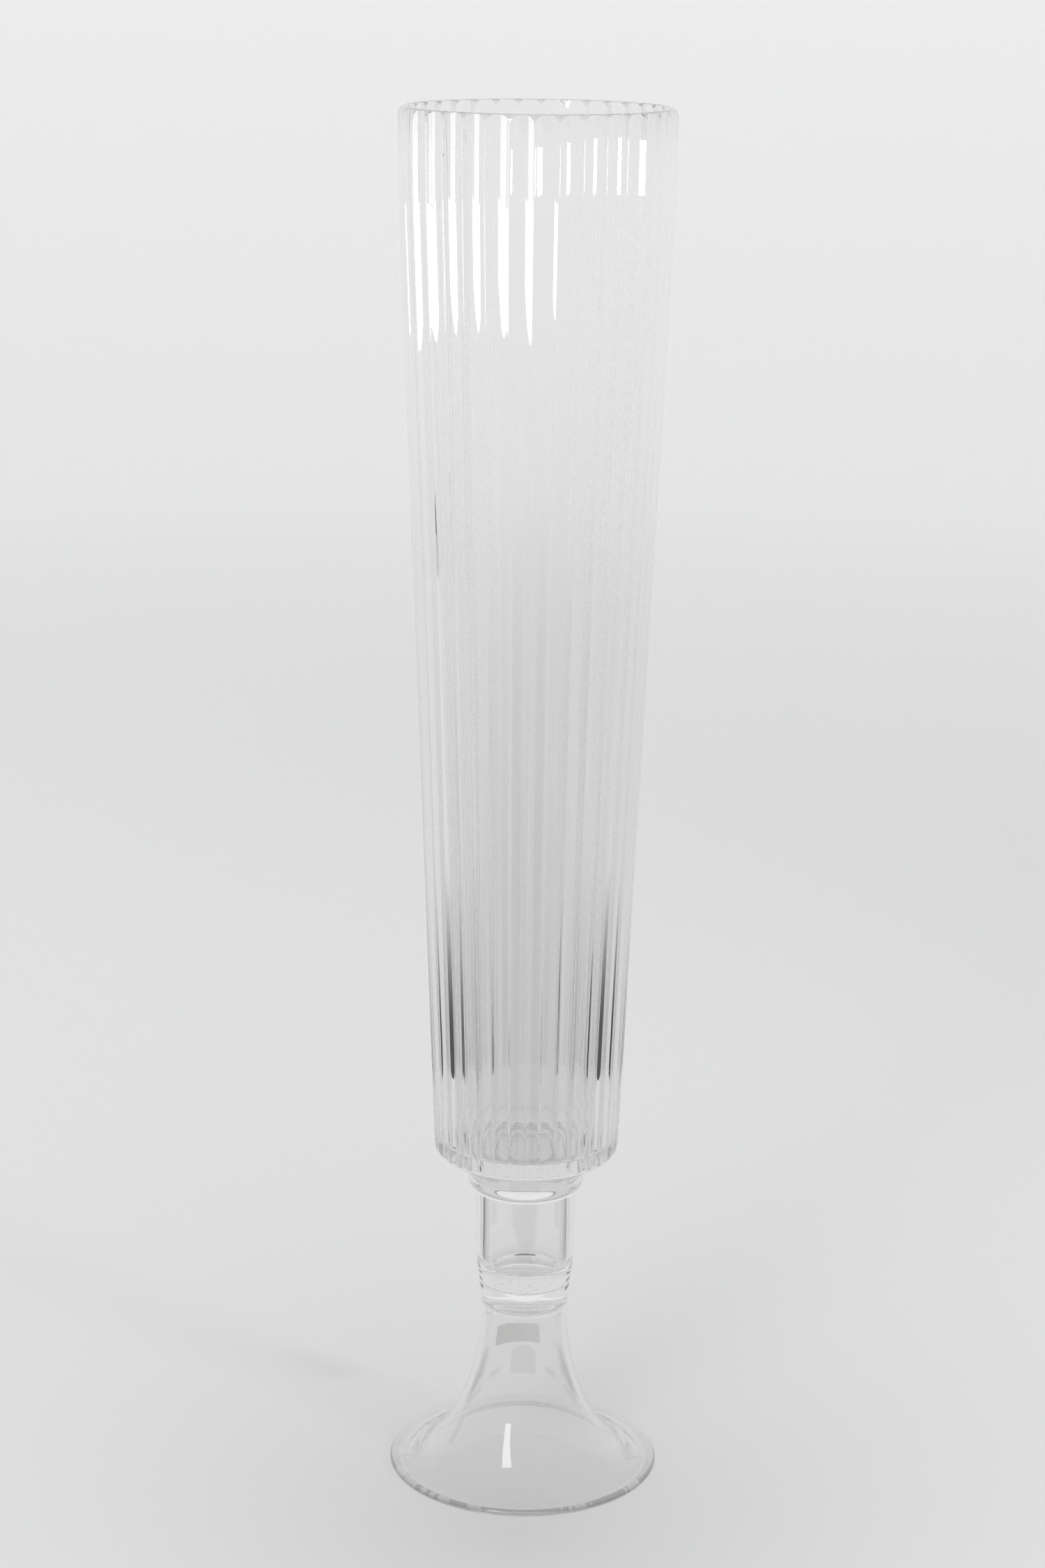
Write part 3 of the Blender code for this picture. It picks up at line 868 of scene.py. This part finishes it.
glass_pieces = ((bowl, bowl_glass), (collar, plain_glass), (stem, plain_glass), (foot, plain_glass))
for piece, finish in glass_pieces:
    piece.data.materials.append(finish)
    piece.data.materials.append(cement)
wetted = [
    wetted_faces(bowl.data, JOINT_BOWL - NEAR, JOINT_BOWL + NEAR, 0.0, COLLAR_TOP_RADIUS - SOFT_EDGE),
    wetted_faces(collar.data, JOINT_BOWL - NEAR, JOINT_BOWL + NEAR, 0.0, COLLAR_TOP_RADIUS - SOFT_EDGE),
    wetted_faces(collar.data, JOINT_STEM - NEAR, JOINT_STEM + NEAR, film_ring_inner, film_ring_outer),
    wetted_faces(stem.data, JOINT_STEM - NEAR, JOINT_STEM + NEAR, film_ring_inner, film_ring_outer),
    wetted_faces(stem.data, JOINT_FOOT - NEAR, JOINT_FOOT + NEAR, 0.0, STEM_BASE_RADIUS - SOFT_EDGE),
    wetted_faces(foot.data, JOINT_FOOT - NEAR, JOINT_FOOT + NEAR, 0.0, STEM_BASE_RADIUS - SOFT_EDGE),
]
for film in (film_foot, film_bowl, film_stem):
    film.data.materials.append(cement)
label.data.materials.append(paper)
print("wetted faces:", wetted)

# %% [markdown]
# ## The studio
#
# The vase stands on a pale seamless floor that curves up into a pale wall all
# round, so that every view has the same calm ground. The paper carries a painted
# glow, an emission that stands in for light from behind it: little near the vase
# and more further out, so it grows lighter towards the horizon.

# %% Floor and wall in one sweep
SWEEP_FLOOR = 3.4
SWEEP_CURVE = 1.0
SWEEP_HEIGHT = 2.2
SWEEP_SIDES = 128
SWEEP_GLOW = 0.40
SWEEP_HALF_GLOW = 0.5
GLOW_START = -0.1

wall_radius = SWEEP_FLOOR + SWEEP_CURVE
sweep_profile = joined(
    straight((0.0, 0.0), (SWEEP_FLOOR, 0.0), 24),
    arc((SWEEP_FLOOR, SWEEP_CURVE), SWEEP_CURVE, SWEEP_CURVE, -90, 0, 24)[1:],
    straight((wall_radius, SWEEP_CURVE), (wall_radius, SWEEP_HEIGHT), 6),
)
sweep_angle = plain_columns(SWEEP_SIDES)
sweep_points = np.stack([
    sweep_profile[:, :1] * np.cos(sweep_angle),
    sweep_profile[:, :1] * np.sin(sweep_angle),
    sweep_profile[:, 1:] * np.ones_like(sweep_angle),
], axis=-1).reshape(-1, 3)
ring_row = np.arange(len(sweep_profile) - 1)[:, None] * SWEEP_SIDES
ring_column = np.arange(SWEEP_SIDES)[None, :]
ring_after = (ring_column + 1) % SWEEP_SIDES
sweep_quads = np.stack([
    ring_row + ring_column,
    ring_row + SWEEP_SIDES + ring_column,
    ring_row + SWEEP_SIDES + ring_after,
    ring_row + ring_after,
], axis=-1).reshape(-1, 4)
middle = np.full(SWEEP_SIDES, len(sweep_points))
centre_fan = np.stack([middle, ring_column[0], ring_after[0]], axis=-1)
sweep_mesh = bpy.data.meshes.new("pale sweep")
sweep_mesh.from_pydata(
    np.vstack([sweep_points, [[0, 0, 0]]]).tolist(), [], sweep_quads.tolist() + centre_fan.tolist())
sweep_mesh.shade_smooth()


def add_stage(mesh):
    """Put a mesh in the scene as part of the studio."""
    thing = bpy.data.objects.new(mesh.name, mesh)
    bpy.context.scene.collection.objects.link(thing)
    return thing


sweep = add_stage(sweep_mesh)
sweep_material, tree = new_material("matt backdrop paper with painted glow")
place = add_node(tree, "ShaderNodeTexCoord")
# Painted light: the paper's emission grows with distance from a point just in front of the vase.
away = add_node(tree, "ShaderNodeVectorMath", {1: (0.0, GLOW_START, 0.0)},
                {0: place.outputs["Object"]}, operation="DISTANCE")
further = add_node(tree, "ShaderNodeMath", {1: SWEEP_HALF_GLOW}, {0: away.outputs["Value"]},
                   operation="ADD")
share = add_node(tree, "ShaderNodeMath", None, {0: away.outputs["Value"], 1: further.outputs[0]},
                 operation="DIVIDE")
glow = add_node(tree, "ShaderNodeMath", {1: SWEEP_GLOW}, {0: share.outputs[0]}, operation="MULTIPLY")
backdrop = add_node(tree, "ShaderNodeBsdfPrincipled",
                    {"Base Color": linear("#E4E4E4"), "Roughness": 1.0, "Specular IOR Level": 0.0,
                     "Emission Color": linear("#FFFFFF")},
                    {"Emission Strength": glow.outputs[0]})
add_node(tree, "ShaderNodeOutputMaterial", links={"Surface": backdrop.outputs[0]})
sweep_mesh.materials.append(sweep_material)
print("sweep reaches", wall_radius, "m from the vase")

# %% [markdown]
# ## Dark flags
#
# Clear glass in an all-white room is invisible. A studio that lights glass
# therefore puts dark cards, called flags, just out of view: the glass bends
# them into the thin dark lines that draw its edges and flutes. These flags are
# seen only in the glass; they are hidden from the camera and cast no shadow.
# All but one lie on the floor over a span of directions, given in degrees from
# +X. A line of sight that crosses the glass lower down meets the floor nearer to
# the vase, so a flag's distance chooses how high its dark streak stands.

# %% Dark flags
FLAG_LIFT = 0.004


def felt_finish(name, fade_from, fade_to):
    """Dark felt that thins out to nothing between two distances from the vase's axis,
    as the frayed edge of a graduated flag does."""
    material, tree = new_material(name)
    place = add_node(tree, "ShaderNodeTexCoord")
    nap = add_node(tree, "ShaderNodeTexNoise", {"Scale": 60.0}, {"Vector": place.outputs["Object"]})
    tone = add_node(tree, "ShaderNodeMix", {"A": linear("#484848"), "B": linear("#545454")},
                    {"Factor": nap.outputs["Fac"]}, data_type="RGBA")
    away = add_node(tree, "ShaderNodeVectorMath", links={"Vector": place.outputs["Object"]},
                    operation="LENGTH")
    cover = add_node(tree, "ShaderNodeMapRange",
                     {"From Min": fade_from, "From Max": fade_to, "To Min": 1.0, "To Max": 0.0},
                     {"Value": away.outputs["Value"]}, interpolation_type="SMOOTHSTEP")
    felt = add_node(tree, "ShaderNodeBsdfDiffuse", links={"Color": tone.outputs["Result"]})
    nothing = add_node(tree, "ShaderNodeBsdfTransparent")
    card = add_node(tree, "ShaderNodeMixShader", None,
                    {0: cover.outputs["Result"], 1: nothing.outputs[0], 2: felt.outputs[0]})
    add_node(tree, "ShaderNodeOutputMaterial", links={"Surface": card.outputs[0]})
    return material


def flag(name, corners, finish):
    """A card between four corners that only the glass can see."""
    mesh = bpy.data.meshes.new(name)
    mesh.from_pydata([tuple(float(v) for v in corner) for corner in corners], [], [(0, 1, 2, 3)])
    mesh.materials.append(finish)
    card = add_stage(mesh)
    card.visible_camera = False
    card.visible_diffuse = False
    card.visible_shadow = False
    return card


def lying_flag(name, polar_from, polar_to, near, far, finish):
    """A card on the floor that spans some directions and distances from the vase."""
    turns = [math.radians(deg) for deg in (polar_from, polar_to)]
    corners = [(near, turns[0]), (far, turns[0]), (far, turns[1]), (near, turns[1])]
    return flag(name, [(r * math.cos(turn), r * math.sin(turn), FLAG_LIFT) for r, turn in corners], finish)


def standing_flag(name, polar_deg, distance, width, low, high, finish):
    """A card that stands upright and faces the vase."""
    turn = math.radians(polar_deg)
    out = np.array([math.cos(turn), math.sin(turn)]) * distance
    side = np.array([-math.sin(turn), math.cos(turn)]) * width / 2
    left, right = out - side, out + side
    return flag(name, [(*left, low), (*right, low), (*right, high), (*left, high)], finish)


# %% [markdown]
# Four flags beside the vase draw the dark streaks low on the bowl, two small
# ones draw the stem's walls, a wide one in front darkens what the bowl's front
# mirrors and a narrow upright one gives a single dark line near the left edge.

# %% Where the flags are
BOWL_FLAG = (0.67, 1.30)
STEM_FLAG = (0.29, 0.45)
FRONT_FLAG = (0.42, 2.70)
SIDE_FLAGS = {
    "left rear": (146, 172),
    "left front": (190, 216),
    "right rear": (8, 34),
    "right front": (-36, -10),
}

near_felt = felt_finish("graduated felt, near", 0.75, 1.20)
far_felt = felt_finish("graduated felt, far", 1.40, 2.60)
whole_felt = felt_finish("plain felt", 5.0, 6.0)
for side_name, directions in SIDE_FLAGS.items():
    lying_flag(side_name + " bowl flag", *directions, *BOWL_FLAG, near_felt)
    if "rear" in side_name:
        lying_flag(side_name + " stem flag", *directions, *STEM_FLAG, whole_felt)
lying_flag("front floor flag", 240, 300, *FRONT_FLAG, far_felt)
standing_flag("back left flag", 152, distance=1.9, width=0.14, low=0.1, high=0.6, finish=whole_felt)

# %% [markdown]
# A white cloth hangs over the whole studio, a scrim in a studio's words. Only
# the glass sees it: it gives the rim and the foot something pale to reflect.

# %% A white scrim overhead
SCRIM_HEIGHT = 2.3
SCRIM_RADIUS = 4.5
SCRIM_GLOW = 0.68

scrim_rim = np.stack([SCRIM_RADIUS * np.cos(sweep_angle[0]), SCRIM_RADIUS * np.sin(sweep_angle[0]),
                      np.full(SWEEP_SIDES, SCRIM_HEIGHT)], axis=-1)
scrim_mesh = bpy.data.meshes.new("white scrim")
scrim_mesh.from_pydata(scrim_rim.tolist(), [], [list(range(SWEEP_SIDES))])
scrim = add_stage(scrim_mesh)
scrim.visible_camera = False
scrim.visible_diffuse = False
scrim.visible_shadow = False
scrim_cloth, tree = new_material("lit scrim cloth")
place = add_node(tree, "ShaderNodeTexCoord")
folds = add_node(tree, "ShaderNodeTexNoise", {"Scale": 0.8}, {"Vector": place.outputs["Object"]})
tone = add_node(tree, "ShaderNodeMix", {"A": linear("#EEEEEE"), "B": linear("#FFFFFF")},
                {"Factor": folds.outputs["Fac"]}, data_type="RGBA")
cloth = add_node(tree, "ShaderNodeEmission", {"Strength": SCRIM_GLOW}, {"Color": tone.outputs["Result"]})
add_node(tree, "ShaderNodeOutputMaterial", links={"Surface": cloth.outputs[0]})
scrim_mesh.materials.append(scrim_cloth)
print("scrim at", SCRIM_HEIGHT, "m")

# %% [markdown]
# ## Lights
#
# Three wide, flat lamps stand low at the left and right front, so that the
# flutes near the rim catch them as bright upright streaks. They light only the
# bowl. A tall strip, left of the camera, draws one upright gleam on the foot.
# A spot from the front right throws the vase's faint shadow across the floor.
# The rest of the light comes evenly from a pale sky over the whole studio,
# and from the painted glow of the backdrop paper.

# %% Soft lights
def softbox(name, polar_deg, distance, height, width, tall, watts, aim_height=None):
    """A rectangular soft light that stands in a direction and faces the axis."""
    data = bpy.data.lights.new(name, "AREA")
    data.shape = "RECTANGLE"
    data.size = width
    data.size_y = tall
    data.energy = watts
    lamp = bpy.data.objects.new(name, data)
    turn = math.radians(polar_deg)
    lamp.location = (distance * math.cos(turn), distance * math.sin(turn), height)
    aim = Vector((0.0, 0.0, height if aim_height is None else aim_height)) - lamp.location
    lamp.rotation_euler = aim.to_track_quat("-Z", "Y").to_euler()
    bpy.context.scene.collection.objects.link(lamp)
    return lamp


def shine_only_on(lamps, name, things):
    """Let some lamps light and show in a few objects only, as a snoot or barn doors do."""
    lit = bpy.data.collections.new(name)
    for thing in things:
        lit.objects.link(thing)
    for lamp in lamps:
        lamp.light_linking.receiver_collection = lit


print("lamp helpers are ready")

# %% [markdown]
# The glass shows the lamps as reflections only. Seen straight through it they
# would be hard white blocks, so they are hidden from rays that have passed
# through glass.

# %% The lamps
RIM_LAMP_DISTANCE = 2.0
SPOT_DISTANCE = 4.1
SPOT_HEIGHT = 1.9

key = softbox("key strip light", 245, distance=1.9, height=2.0, width=0.46, tall=2.60, watts=24,
              aim_height=0.05)
left_rim = softbox("left rim light", 211, RIM_LAMP_DISTANCE, 0.39, width=1.90, tall=0.17, watts=9)
left_veil = softbox("left rim veil", 208, RIM_LAMP_DISTANCE, 0.59, width=1.20, tall=0.24, watts=4)
right_rim = softbox("right rim light", 316, RIM_LAMP_DISTANCE, 0.58, width=0.70, tall=0.13, watts=8)
rim_lights = [left_rim, left_veil, right_rim]
for lamp in (key, *rim_lights):
    lamp.visible_transmission = False

spot_data = bpy.data.lights.new("low side spot", "SPOT")
spot_data.energy = 250
spot_data.spot_size = math.radians(32)
spot_data.spot_blend = 1.0
spot_data.shadow_soft_size = 0.33
side = bpy.data.objects.new("low side spot", spot_data)
side_turn = math.radians(322)
side.location = (SPOT_DISTANCE * math.cos(side_turn), SPOT_DISTANCE * math.sin(side_turn), SPOT_HEIGHT)
side.rotation_euler = (Vector((0.0, 0.0, 0.0)) - side.location).to_track_quat("-Z", "Y").to_euler()
bpy.context.scene.collection.objects.link(side)
shine_only_on([side], "lit by the side light", [sweep])
shine_only_on(rim_lights, "lit by the rim lights", [bowl])

print("lights:", [lamp.name for lamp in (key, side, *rim_lights)])

# %% [markdown]
# The sky is a plain pale grey. Light that is caught in a glass wall bounces
# inside it dozens of times before it gets out, so the renderer is allowed many
# bounces; with few, the rim would turn black.

# %% Sky and light paths
GLASS_BOUNCES = 128
SKY_STRENGTH = 0.34

world = bpy.data.worlds.new("pale studio sky")
world.use_nodes = True
sky = world.node_tree.nodes["Background"]
sky.inputs["Color"].default_value = linear("#F6F6F7")
sky.inputs["Strength"].default_value = SKY_STRENGTH
bpy.context.scene.world = world
bpy.context.scene.view_settings.view_transform = "Standard"
bpy.context.scene.view_settings.look = "None"
cycles = bpy.context.scene.cycles
cycles.max_bounces = GLASS_BOUNCES
cycles.transmission_bounces = GLASS_BOUNCES
cycles.glossy_bounces = GLASS_BOUNCES
cycles.diffuse_bounces = 4
cycles.transparent_max_bounces = 32
cycles.caustics_reflective = False
cycles.caustics_refractive = False
print("light paths of up to", cycles.max_bounces, "bounces")
